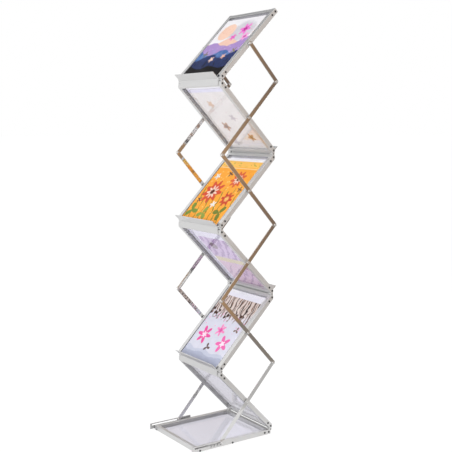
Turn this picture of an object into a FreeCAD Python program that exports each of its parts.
"""A folding zig-zag brochure stand: a flat base and six hinged panels held up by lazy-tongs bars.

Every frame is modelled lying flat in its own axes: X across the stand, Y along the side rails from
the lower hinge axis to the upper one, Z up through the thickness with zero at the lower hinge axis.
A placement then leans it into the zig-zag. Odd panels rise towards the front (-Y), even ones to the rear.
The origin is on the floor, under the middle of the stand's box.
"""
import FreeCAD
import Part
import math
import os
import re

# Driving dimensions in millimetres and degrees.
DIMENSIONS = [
    ("frame_width", 260.0, "over the outer faces of the side rails"),
    ("rail_length", 315.0, "between the two hinge axes of a panel, along its rails"),
    ("base_length", 312.0, "base rails, front end to hinge axis"),
    ("stand_angle", 45.9, "lean of each panel above the floor, stand open"),
    ("rail_height", 16.0, "thickness of every frame"),
    ("rail_width", 15.0, "side rail seen from above"),
    ("rail_wall", 1.8, "wall of the hollow side rail"),
    ("rail_edge", 0.8, "rounding along the rails"),
    ("plug_length", 22.0, "solid hinge end of a side rail"),
    ("end_cut", 9.0, "slanting cut across the outer corner of a hinged rail end"),
    ("stack_gap", 1.0, "between neighbouring frames when folded flat"),
    ("cross_width", 13.0, "cross rail seen from above"),
    ("end_inset", 1.0, "cross rail set back from the hinge axis"),
    ("sheet_thickness", 3.0, "clear sheet"),
    ("sheet_seat", 10.5, "underside of a panel to underside of its sheet"),
    ("base_seat", 2.5, "underside of the base to underside of its sheet"),
    ("groove_depth", 6.0, "groove that holds the edge of the sheet"),
    ("groove_play", 0.2, "room round the sheet in its groove"),
    ("knuckle_radius", 4.5, "hinge knuckle"),
    ("knuckle_room", 0.4, "room round a neighbour's knuckle"),
    ("tongue_width", 5.0, "middle knuckle, on the upper of two frames"),
    ("knuckle_play", 0.2, "between knuckles, along the pin"),
    ("pin_radius", 2.0, "hinge pin"),
    ("pin_recess", 0.2, "end of a hinge pin below the rail's outer face"),
    ("running_play", 0.05, "round a pin that turns"),
    ("screw_radius", 1.75, "frame screw shank"),
    ("screw_head_radius", 3.5, "frame screw head"),
    ("screw_head_height", 1.4, "frame screw head"),
    ("screw_inset", 7.5, "hinge axis to the first screw"),
    ("screw_spacing", 17.5, "first screw to second screw"),
    ("screw_grip", 12.0, "screw in the end of a cross rail"),
    ("short_screw", 11.0, "screw that ends in the side rail"),
    ("lip_thickness", 2.6, "lip and the web that carries it"),
    ("lip_gap", 0.4, "ends of the lip clear of the side rails"),
    ("lip_reach", 3.5, "outer face of the lip beyond the hinge axis"),
    ("lip_rise", 5.0, "lower edge of the lip above the hinge axis"),
    ("nest_gap", 1.6, "edge of a lip under the next lip, folded flat"),
    ("apron_gap", 0.6, "apron below a lip clear of the rail ends that it covers"),
    ("apron_drop", 18.0, "lower edge of the apron below the hinge axis, stand open"),
    ("bar_length", 321.5, "lattice bar between its end pivots"),
    ("bar_width", 14.0, "lattice bar"),
    ("bar_thickness", 2.0, "lattice bar"),
    ("bar_standoff", 2.2, "side rail to the inner bars"),
    ("bar_gap", 0.4, "inner bars to outer bars and to the guides"),
    ("rivet_radius", 2.5, "pivot rivet shank"),
    ("rivet_head_radius", 4.4, "pivot rivet head"),
    ("rivet_head_height", 1.3, "pivot rivet head"),
    ("joint_play", 0.8, "round a rivet in the upper of two bars"),
    ("rivet_depth", 7.5, "pivot rivet in the side rail"),
    ("shoulder_play", 0.2, "rivet shoulder clear of the side rail"),
    ("guide_lead", 9.0, "guide strip ahead of the sliding pin, stand folded"),
    ("guide_tail", 50.5, "guide strip behind the sliding pin, stand open"),
    ("guide_thickness", 2.5, "guide strip"),
    ("guide_above", 5.5, "guide strip above the slot's centre line"),
    ("guide_below", 13.5, "guide strip below the slot's centre line"),
    ("slot_play", 0.5, "round the sliding pin in its slot"),
    ("foot_length", 9.0, "block between guide strip and side rail"),
    ("foot_rise", 5.5, "block between guide strip and side rail"),
    ("guide_screw", 8.0, "guide screw in the side rail"),
    ("notch_depth", 8.0, "latch notch, measured along its slant"),
    ("notch_pitch", 12.5, "from notch to notch"),
    ("notch_lean", 28.0, "slant of the notches"),
    ("brochure_side", 4.0, "side edge of a magazine to the side rail"),
    ("brochure_head", 30.4, "upper edge of a magazine to the upper hinge axis"),
    ("brochure_thickness", 2.6, "magazine"),
    ("brochure_gap", 0.5, "lower edge of a magazine to the lip"),
    ("paper_play", 0.1, "under a magazine where it rests"),
]
NOTCHES = 4
PANELS = range(1, 7)
SIDES = {"left": -1, "right": 1}

doc = FreeCAD.newDocument("brochure_stand")
dims = doc.addObject("Spreadsheet::Sheet", "dims")
for row, (alias, number, note) in enumerate(DIMENSIONS, 1):
    dims.set(f"A{row}", alias)
    dims.set(f"B{row}", str(number))
    dims.set(f"C{row}", note)
    dims.setAlias(f"B{row}", alias)
doc.recompute()
ALIASES = {alias for alias, number, note in DIMENSIONS}

# Heights and lengths that several pieces share, as formulas over the sheet.
BOTTOM = "stack_gap/2"
TOP = "(stack_gap/2 + rail_height)"
PITCH = "(rail_height + stack_gap)"
MIDDLE = "(rail_height + stack_gap)/2"
PANEL_SEAT = "(stack_gap/2 + sheet_seat)"
BASE_SEAT = "(stack_gap/2 + base_seat)"
GROOVE_HEIGHT = "(sheet_thickness + groove_play)"
INNER_HALF = "(frame_width/2 - rail_width)"
LEDGE = f"({PANEL_SEAT} - groove_play)"
LIP_TIP = f"(2*{PITCH} + lip_rise - nest_gap)"
LIP_FACE = "(lip_thickness - lip_reach)"
APRON_FACE = f"(({TOP} - end_cut)*sin(stand_angle) + apron_gap + lip_thickness)"
APRON_TOP = f"(({APRON_FACE}*cos(stand_angle) - lip_reach)/sin(stand_angle))"
HALF_BAR = "bar_length/2"
TONGUE_NEAR = "((rail_width - tongue_width)/2)"
TONGUE_FAR = "((rail_width + tongue_width)/2)"
INNER_BAR = ("bar_standoff", "(bar_standoff + bar_thickness)")
OUTER_BAR = ("(bar_standoff + bar_thickness + bar_gap)", "(bar_standoff + 2*bar_thickness + bar_gap)")
GUIDE = (OUTER_BAR[0], f"({OUTER_BAR[0]} + guide_thickness)")
OPEN_REACH = f"(rail_length*cos(stand_angle) - {PITCH}*sin(stand_angle))"
OPEN_RISE = f"(rail_length*sin(stand_angle) + {PITCH}*cos(stand_angle))"
PIN_OPEN = f"(base_length - ({OPEN_REACH} + sqrt(bar_length^2 - {OPEN_RISE}^2))/2)"
PIN_FOLDED = f"(base_length - (rail_length + sqrt(bar_length^2 - {PITCH}^2))/2)"
GUIDE_FOOT = f"({PITCH} - guide_below)"
FRONT_FOOT = "(screw_inset + screw_spacing/2)"
GUIDE_FRONT = f"(min(0; {PIN_FOLDED}) - guide_lead)"
GUIDE_REAR = f"({PIN_OPEN} + guide_tail)"
REAR_FOOT = f"({GUIDE_REAR} - foot_length/2)"
SLOT_HALF = "(rivet_radius + slot_play)"
PAPER_START = f"({LIP_FACE} + brochure_gap)"
PAPER_WIDTH = f"(2*{INNER_HALF} - 2*brochure_side)"
PAPER_HEIGHT = f"(rail_length - brochure_head - {PAPER_START})"

X_AXIS = FreeCAD.Vector(1, 0, 0)
Y_AXIS = FreeCAD.Vector(0, 1, 0)
Z_AXIS = FreeCAD.Vector(0, 0, 1)
ALONG_X = FreeCAD.Rotation(Y_AXIS, 90)


def over_sheet(formula):
    """Write the sheet's name before each of its aliases in a formula."""
    return re.sub(r"[a-z_]+", lambda word: f"dims.{word[0]}" if word[0] in ALIASES else word[0], formula)


def value(formula):
    """A formula over the sheet as a number."""
    return float(dims.evalExpression(over_sheet(formula)))


def bind(feature, formulas):
    """Tie properties of a feature to formulas over the sheet."""
    for path, formula in formulas.items():
        feature.setExpression(path, over_sheet(formula))


def across(side, near, far):
    """Low x and length of a span given by two distances inwards from a rail's outer face."""
    low = f"frame_width/2 - ({far})" if side > 0 else f"({near}) - frame_width/2"
    return low, f"({far}) - ({near})"


def outward(side, near, far):
    """Low x and length of a span given by two distances outwards from a rail's outer face."""
    return across(side, f"-({far})", f"-({near})")


def new_body(label):
    body = doc.addObject("PartDesign::Body", label)
    body.Label = label
    return body


def block(body, low, lengths, cut=False):
    """A block added to or cut from a body, from its low corner and its three lengths."""
    kind = "SubtractiveBox" if cut else "AdditiveBox"
    feature = body.newObject(f"PartDesign::{kind}", kind)
    places = {f"Placement.Base.{axis}": formula for axis, formula in zip("xyz", low)}
    bind(feature, {**places, **dict(zip(("Length", "Width", "Height"), lengths))})
    return feature


def rod(body, span, along, up, radius, cut=False):
    """A cylinder parallel to X added to or cut from a body."""
    kind = "SubtractiveCylinder" if cut else "AdditiveCylinder"
    feature = body.newObject(f"PartDesign::{kind}", kind)
    feature.Placement = FreeCAD.Placement(FreeCAD.Vector(), ALONG_X)
    bind(feature, {"Placement.Base.x": span[0], "Height": span[1], "Radius": radius,
                   "Placement.Base.y": along, "Placement.Base.z": up})
    return feature


def round_edges(body, feature, direction):
    """Round the edges of a body's feature that run along a direction."""
    doc.recompute()
    names = []
    for number, edge in enumerate(feature.Shape.Edges, 1):
        if abs(edge.tangentAt(edge.FirstParameter).dot(direction)) > 0.999:
            names.append(f"Edge{number}")
    fillet = body.newObject("PartDesign::Fillet", "EdgeRounding")
    fillet.Base = (feature, names)
    bind(fillet, {"Radius": "rail_edge"})


def cut_corner(body, span, length=None):
    """Cut the upper corner of a rail's lower end on a slant, or the lower corner of its upper end."""
    back = "cos(45)*end_cut"
    if length is None:
        low = (f"-{back}", f"{TOP} - end_cut - {back}")
        turn = 45
    else:
        low = (f"{length} + {back}", f"{BOTTOM} + end_cut + {back}")
        turn = 225
    cut = block(body, (span[0], *low), (span[1], "4*end_cut", "2*end_cut"), cut=True)
    turn_feature(cut, turn)


def turn_feature(feature, degrees):
    """Turn a block about its low corner, round an axis along X."""
    placement = feature.Placement
    placement.Rotation = FreeCAD.Rotation(X_AXIS, degrees)
    feature.Placement = placement


def side_rail(label, side, length, seat, hinged_low=False, hinged_high=False, pivoted=False, square=False):
    """A hollow side rail with solid hinge ends, a sheet groove, screw holes and a pivot hole."""
    body = new_body(label)
    width = across(side, "0", "rail_width")
    stock = block(body, (width[0], "0", BOTTOM), (width[1], length, "rail_height"))
    round_edges(body, stock, Y_AXIS)
    groove = across(side, "rail_width - groove_depth", "rail_width")
    block(body, (groove[0], "0", seat), (groove[1], length, GROOVE_HEIGHT), cut=True)
    hollow = across(side, "rail_wall", "rail_width - rail_wall")
    if seat == BASE_SEAT:
        floor, ceiling = f"({seat} + {GROOVE_HEIGHT} + rail_wall)", f"({TOP} - rail_wall)"
    else:
        floor, ceiling = f"({BOTTOM} + rail_wall)", f"({seat} - rail_wall)"
    block(body, (hollow[0], "plug_length", floor),
          (hollow[1], f"{length} - 2*plug_length", f"{ceiling} - {floor}"), cut=True)
    for along in screw_places(length):
        rod(body, width, along, MIDDLE, "screw_radius + running_play", cut=True)
    if pivoted:
        depth = across(side, "0", "rivet_depth + shoulder_play")
        rod(body, depth, f"{length}/2", MIDDLE, "rivet_radius + running_play", cut=True)
    if hinged_low:
        cut_corner(body, width)
    if hinged_high and not square:
        cut_corner(body, width, length)
    if hinged_low:
        for span in (across(side, "0", TONGUE_NEAR), across(side, TONGUE_FAR, "rail_width")):
            rod(body, span, "0", "0", "knuckle_radius + knuckle_room", cut=True)
        rod(body, across(side, TONGUE_NEAR, TONGUE_FAR), "0", "0", "knuckle_radius")
        rod(body, width, "0", "0", "pin_radius + running_play", cut=True)
    if hinged_high:
        room = (f"{TONGUE_NEAR} - knuckle_play", f"{TONGUE_FAR} + knuckle_play")
        rod(body, across(side, *room), length, PITCH, "knuckle_radius + knuckle_room", cut=True)
        for span in (across(side, "0", room[0]), across(side, room[1], "rail_width")):
            rod(body, span, length, PITCH, "knuckle_radius")
        rod(body, width, length, PITCH, "pin_radius + running_play", cut=True)
    return body


def cross_rail(label, along, screw_along, seat, groove_along=None, top=TOP):
    """A rail between the side rails, with or without a groove for the sheet, drilled at both ends for a screw."""
    body = new_body(label)
    low = f"-{INNER_HALF}"
    length = f"2*{INNER_HALF}"
    stock = block(body, (low, along, BOTTOM), (length, "cross_width", f"{top} - {BOTTOM}"))
    round_edges(body, stock, X_AXIS)
    if groove_along:
        block(body, (low, groove_along, seat), (length, "groove_depth", GROOVE_HEIGHT), cut=True)
    for side in SIDES.values():
        port = across(side, "rail_width", "rail_width + screw_grip")
        rod(body, port, screw_along, MIDDLE, "screw_radius + running_play", cut=True)
    return body


def low_rail(label, seat):
    """The grooved cross rail at the lower end of a frame."""
    return cross_rail(label, "end_inset", "screw_inset", seat, "end_inset + cross_width - groove_depth")


def plain_low_rail(label):
    """The lower cross rail of a panel without a lip, its outer corner cut like the side rails'."""
    body = low_rail(label, PANEL_SEAT)
    cut_corner(body, (f"-{INNER_HALF}", f"2*{INNER_HALF}"))
    return body


def high_rail(label, length, seat, square=True):
    """The grooved cross rail at the upper end of a frame of the given length."""
    along = f"{length} - end_inset - cross_width"
    body = cross_rail(label, along, f"{length} - screw_inset", seat, along)
    if not square:
        cut_corner(body, (f"-{INNER_HALF}", f"2*{INNER_HALF}"), length)
    return body


def lipped_rail(label):
    """The lower cross rail that carries the sheet, with a lip before the papers and an apron below, in one piece."""
    body = cross_rail(label, "end_inset", "screw_inset", PANEL_SEAT, top=LEDGE)
    low = f"-({INNER_HALF} - lip_gap)"
    length = f"2*({INNER_HALF} - lip_gap)"
    lip = block(body, (low, "-lip_reach", "lip_rise"), (length, "lip_thickness", f"{LIP_TIP} - lip_rise"))
    round_lip(body, lip)
    block(body, (low, "-lip_reach", "lip_rise"),
          (length, "lip_reach + end_inset + 2*rail_edge", f"{LEDGE} - lip_rise"))
    corner = (f"-({APRON_FACE}*cos(stand_angle) + apron_drop*sin(stand_angle))",
              f"{APRON_FACE}*sin(stand_angle) - apron_drop*cos(stand_angle)")
    apron = block(body, (low, *corner), (length, "lip_thickness", f"apron_drop + {APRON_TOP}"))
    turn_feature(apron, -value("stand_angle"))
    return body


def round_lip(body, feature):
    """Round the two long edges at the top of the lip."""
    doc.recompute()
    names = []
    for number, edge in enumerate(feature.Shape.Edges, 1):
        if edge.CenterOfMass.z > value(LIP_TIP) - value("running_play") and edge.Length > value("frame_width") / 2:
            names.append(f"Edge{number}")
    fillet = body.newObject("PartDesign::Fillet", "LipRounding")
    fillet.Base = (feature, names)
    bind(fillet, {"Radius": "rail_edge"})


def sheet(label, length, seat):
    """The clear sheet, let into the grooves of the rails."""
    body = new_body(label)
    reach = "(groove_depth - groove_play)"
    inset = f"(end_inset + cross_width - {reach})"
    block(body, (f"-{INNER_HALF} - {reach}", inset, seat),
          (f"2*({INNER_HALF} + {reach})", f"{length} - 2*{inset}", "sheet_thickness"))
    return body


def screw(body, side, along, seat, depth, up=MIDDLE):
    """A frame screw whose head sits at a distance outside the rail and whose point lies inside it."""
    rod(body, outward(side, f"-({depth})", seat), along, up, "screw_radius")
    rod(body, outward(side, seat, f"{seat} + screw_head_height"), along, up, "screw_head_radius")


def hinge_pins(body, length):
    """A short pin through the knuckles of each side rail at a frame's upper end."""
    for side in SIDES.values():
        rod(body, across(side, "pin_recess", "rail_width"), length, PITCH, "pin_radius")


LONG_SCREW = "rail_width + screw_grip - groove_play"
GUIDE_SCREW_UP = f"({GUIDE_FOOT} + foot_rise/2)"


def screw_places(length):
    """Where the screws of a side rail of the given length sit, from each end inwards."""
    return ("screw_inset", "(screw_inset + screw_spacing)",
            f"({length} - screw_inset)", f"({length} - screw_inset - screw_spacing)")


def frame_fasteners(label, length, hinged_high=True):
    """The screws of a frame and the hinge pins at its upper end, each a solid of its own."""
    body = new_body(label)
    places = screw_places(length)
    for side in SIDES.values():
        for first, second in (places[:2], places[2:]):
            screw(body, side, first, "0", LONG_SCREW)
            screw(body, side, second, "0", "short_screw")
    if hinged_high:
        hinge_pins(body, length)
    return body


def base_fasteners(label):
    """The screws of the base and its guides, and the pins of the lowest hinge."""
    body = frame_fasteners(label, "base_length")
    for side in SIDES.values():
        for along in (FRONT_FOOT, REAR_FOOT):
            screw(body, side, along, GUIDE[1], "guide_screw", GUIDE_SCREW_UP)
    return body


def guides(label):
    """A slotted and notched strip outside each base rail, on two blocks, for the pins of the lowest bars."""
    body = new_body(label)
    for side in SIDES.values():
        strip = outward(side, *GUIDE)
        gap = outward(side, "0", GUIDE[0])
        block(body, (strip[0], GUIDE_FRONT, GUIDE_FOOT),
              (strip[1], f"{GUIDE_REAR} - {GUIDE_FRONT}", "guide_above + guide_below"))
        for along in (FRONT_FOOT, REAR_FOOT):
            block(body, (gap[0], f"{along} - foot_length/2", GUIDE_FOOT), (gap[1], "foot_length", "foot_rise"))
        block(body, (strip[0], PIN_FOLDED, f"{PITCH} - {SLOT_HALF}"),
              (strip[1], f"{PIN_OPEN} - {PIN_FOLDED}", f"2*{SLOT_HALF}"), cut=True)
        for end in (PIN_FOLDED, PIN_OPEN):
            rod(body, strip, end, PITCH, SLOT_HALF, cut=True)
        for number in range(NOTCHES):
            notch(body, strip, f"({PIN_OPEN} - {number}*notch_pitch)")
        for along in (FRONT_FOOT, REAR_FOOT):
            port = outward(side, "0", GUIDE[1])
            rod(body, port, along, GUIDE_SCREW_UP, "screw_radius + running_play", cut=True)
    return body


def notch(body, strip, along):
    """A slanted latch notch that hangs below the slot of a guide strip, with a round bottom."""
    lean_along = "sin(notch_lean)*notch_depth"
    lean_down = "cos(notch_lean)*notch_depth"
    corner = (f"{along} - cos(notch_lean)*{SLOT_HALF} - {lean_along}",
              f"{PITCH} + sin(notch_lean)*{SLOT_HALF} - {lean_down}")
    cut = block(body, (strip[0], *corner), (strip[1], f"2*{SLOT_HALF}", "notch_depth"), cut=True)
    turn_feature(cut, -value("notch_lean"))
    rod(body, strip, f"{along} - {lean_along}", f"{PITCH} - {lean_down}", SLOT_HALF, cut=True)


def rivet(body, side, along, near, far, head_inside):
    """A rivet through bars between two distances outside the rail, with a head at each end or one outside."""
    outer = f"{far} + running_play"
    rod(body, outward(side, near, outer), along, "0", "rivet_radius")
    rod(body, outward(side, outer, f"{outer} + rivet_head_height"), along, "0", "rivet_head_radius")
    if head_inside:
        rod(body, outward(side, f"{near} - rivet_head_height", near), along, "0", "rivet_head_radius")


def bar(label, side, panel):
    """A lattice bar about its middle pivot, upper end at +Y, with its own pivot rivets."""
    body = new_body(label)
    near, far = INNER_BAR if panel % 2 else OUTER_BAR
    upper = "0" if panel == PANELS[-1] else HALF_BAR
    flat = outward(side, near, far)
    own = "rivet_radius + running_play"
    holes = {f"-{HALF_BAR}": own if panel == PANELS[0] else "rivet_radius + joint_play", "0": own, upper: own}
    block(body, (flat[0], f"-{HALF_BAR}", "-bar_width/2"), (flat[1], f"{HALF_BAR} + {upper}", "bar_width"))
    for end in (f"-{HALF_BAR}", upper):
        rod(body, flat, end, "0", "bar_width/2")
    for along, radius in holes.items():
        rod(body, flat, along, "0", radius, cut=True)
    rivet(body, side, "0", "-rivet_depth", far, head_inside=False)
    rod(body, outward(side, "shoulder_play", f"{near} - running_play"), "0", "0", "rivet_head_radius")
    if panel != PANELS[-1]:
        rivet(body, side, HALF_BAR, f"({INNER_BAR[0]} - running_play)", OUTER_BAR[1], head_inside=True)
    if panel == PANELS[0]:
        slide_out = f"({GUIDE[1]} + slot_play)"
        rivet(body, side, f"-{HALF_BAR}", f"({INNER_BAR[0]} - running_play)", slide_out, head_inside=True)
    return body


def brochure(label):
    """A magazine lying in a panel, from its lower edge up."""
    body = new_body(label)
    block(body, (f"-{PAPER_WIDTH}/2", "0", "0"), (PAPER_WIDTH, PAPER_HEIGHT, "brochure_thickness"))
    return body


def brochure_place():
    """Where a magazine lies flat on a panel's sheet, its lower edge by the lip."""
    return FreeCAD.Placement(FreeCAD.Vector(0, value(PAPER_START), value(f"{PANEL_SEAT} + sheet_thickness + paper_play")),
                             FreeCAD.Rotation())


LEAN = value("stand_angle")
RISE = value(OPEN_RISE)
BAR_LEAN = math.degrees(math.asin(RISE / value("bar_length")))
FRONT_REACH = value(f"base_length - {GUIDE_FRONT}")
REAR_REACH = value(f"lip_reach*cos(stand_angle) + {LIP_TIP}*sin(stand_angle)")
HINGE_Y = (FRONT_REACH - REAR_REACH) / 2
HINGE_Z = value(f"{PITCH} - {BOTTOM}")


def rises_to_front(lean):
    """Turn a piece about so that its +Y end rises at an angle towards the front."""
    return FreeCAD.Rotation(X_AXIS, -lean) * FreeCAD.Rotation(Z_AXIS, 180)


def panel_place(panel):
    """A panel's placement: its lower hinge axis and its lean."""
    hinge = FreeCAD.Vector(0, HINGE_Y - (0 if panel % 2 else value(OPEN_REACH)), HINGE_Z + (panel - 1) * RISE)
    return FreeCAD.Placement(hinge, rises_to_front(LEAN) if panel % 2 else FreeCAD.Rotation(X_AXIS, LEAN))


def bar_place(panel):
    """A bar's placement: its middle pivot, at the middle of the panel, and its lean across the panel's."""
    pivot = panel_place(panel).multVec(FreeCAD.Vector(0, value("rail_length") / 2, value(MIDDLE)))
    return FreeCAD.Placement(pivot, FreeCAD.Rotation(X_AXIS, BAR_LEAN) if panel % 2 else rises_to_front(BAR_LEAN))


pieces = []


def place(body, placement):
    """Set a finished sub-part where it belongs."""
    body.Placement = placement
    pieces.append(body)


base = FreeCAD.Placement(FreeCAD.Vector(0, HINGE_Y - value("base_length"), -value(BOTTOM)), FreeCAD.Rotation())
for word, hand in SIDES.items():
    rail = side_rail(f"base_{word}_rail", hand, "base_length", BASE_SEAT, hinged_high=True, square=True)
    for along in (FRONT_FOOT, REAR_FOOT):
        port = across(hand, "0", "guide_screw + groove_play")
        rod(rail, port, along, GUIDE_SCREW_UP, "screw_radius + running_play", cut=True)
    place(rail, base)
place(low_rail("base_front_rail", BASE_SEAT), base)
place(high_rail("base_rear_rail", "base_length", BASE_SEAT), base)
place(sheet("base_sheet", "base_length", BASE_SEAT), base)
place(guides("base_guides"), base)
place(base_fasteners("base_fasteners"), base)

for panel in PANELS:
    name = f"panel_{panel}"
    where = panel_place(panel)
    turned = -1 if panel % 2 else 1
    hinged = panel != PANELS[-1]
    for word, hand in SIDES.items():
        rail = side_rail(f"{name}_{word}_rail", hand * turned, "rail_length", PANEL_SEAT,
                         hinged_low=True, hinged_high=hinged, pivoted=True)
        place(rail, where)
        place(bar(f"{word}_bar_{panel}", -hand * turned, panel), bar_place(panel))
    lower = plain_low_rail if panel == PANELS[0] else lipped_rail
    place(lower(f"{name}_lower_rail"), where)
    place(high_rail(f"{name}_upper_rail", "rail_length", PANEL_SEAT, square=not hinged), where)
    place(sheet(f"{name}_sheet", "rail_length", PANEL_SEAT), where)
    place(frame_fasteners(f"{name}_fasteners", "rail_length", hinged), where)
    if panel != PANELS[0]:
        place(brochure(f"{name}_brochure"), where * brochure_place())
doc.recompute()

for feature in doc.Objects:
    if {"Invalid", "Error"} & set(feature.State):
        raise RuntimeError(f"{feature.Label} failed: {feature.State}")
for piece in pieces:
    if piece.Shape.isNull() or not piece.Shape.isValid():
        raise RuntimeError(f"{piece.Label} has no valid shape")

os.makedirs("parts", exist_ok=True)
for piece in pieces:
    piece.Shape.exportStep(f"parts/{piece.Label}.step")
    box = piece.Shape.BoundBox
    print(f"{piece.Label:24s} {len(piece.Shape.Solids):3d} solids {piece.Shape.Volume / 1000:9.2f} cm3"
          f"  z {box.ZMin:8.2f} to {box.ZMax:8.2f}")
print(len(pieces), "sub-parts")
